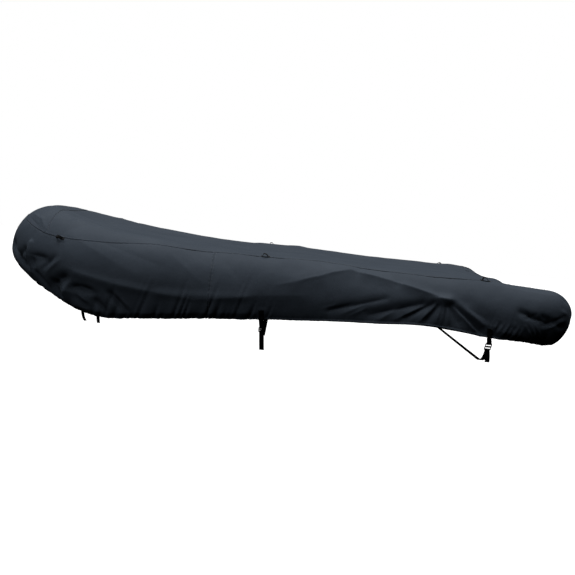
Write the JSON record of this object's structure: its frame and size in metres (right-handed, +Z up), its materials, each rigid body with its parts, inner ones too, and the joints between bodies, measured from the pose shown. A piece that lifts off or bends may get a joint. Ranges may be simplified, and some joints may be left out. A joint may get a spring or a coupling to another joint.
{
  "type": "boat cover",
  "caption": "Fitted boat cover of dark coated cloth, with a flat top, side rolls that meet round the bow, an open underside, a gathered hem, webbing loops and belly straps.",
  "frame": {"origin": "under the middle of the top panel, where the covered thing holds the cover up", "axes": "+X towards the stern, +Y towards the starboard side, +Z up"},
  "size_m": [3.0843, 1.5355, 0.6163],
  "materials": {
    "cloth": "matt coated woven cloth, dark blue-grey",
    "webbing": "black woven webbing",
    "buckle": "black moulded plastic, satin"
  },
  "bodies": {
    "root": {"top_panel": "cloth", "bow_cap": "cloth", "bow_panel": "cloth", "port_side_panel": "cloth", "starboard_side_panel": "cloth", "stern_panel": "cloth", "middle_anchor_strap": "webbing", "middle_belly_strap": "webbing", "middle_buckle": "buckle", "stern_anchor_strap": "webbing", "stern_belly_strap": "webbing", "stern_buckle": "buckle", "port_bow_loop": "webbing", "port_middle_loop": "webbing", "port_stern_loop": "webbing", "starboard_bow_loop": "webbing", "starboard_middle_loop": "webbing", "starboard_stern_loop": "webbing", "fore_bow_tie": "webbing", "aft_bow_tie": "webbing"}
  },
  "joints": []
}
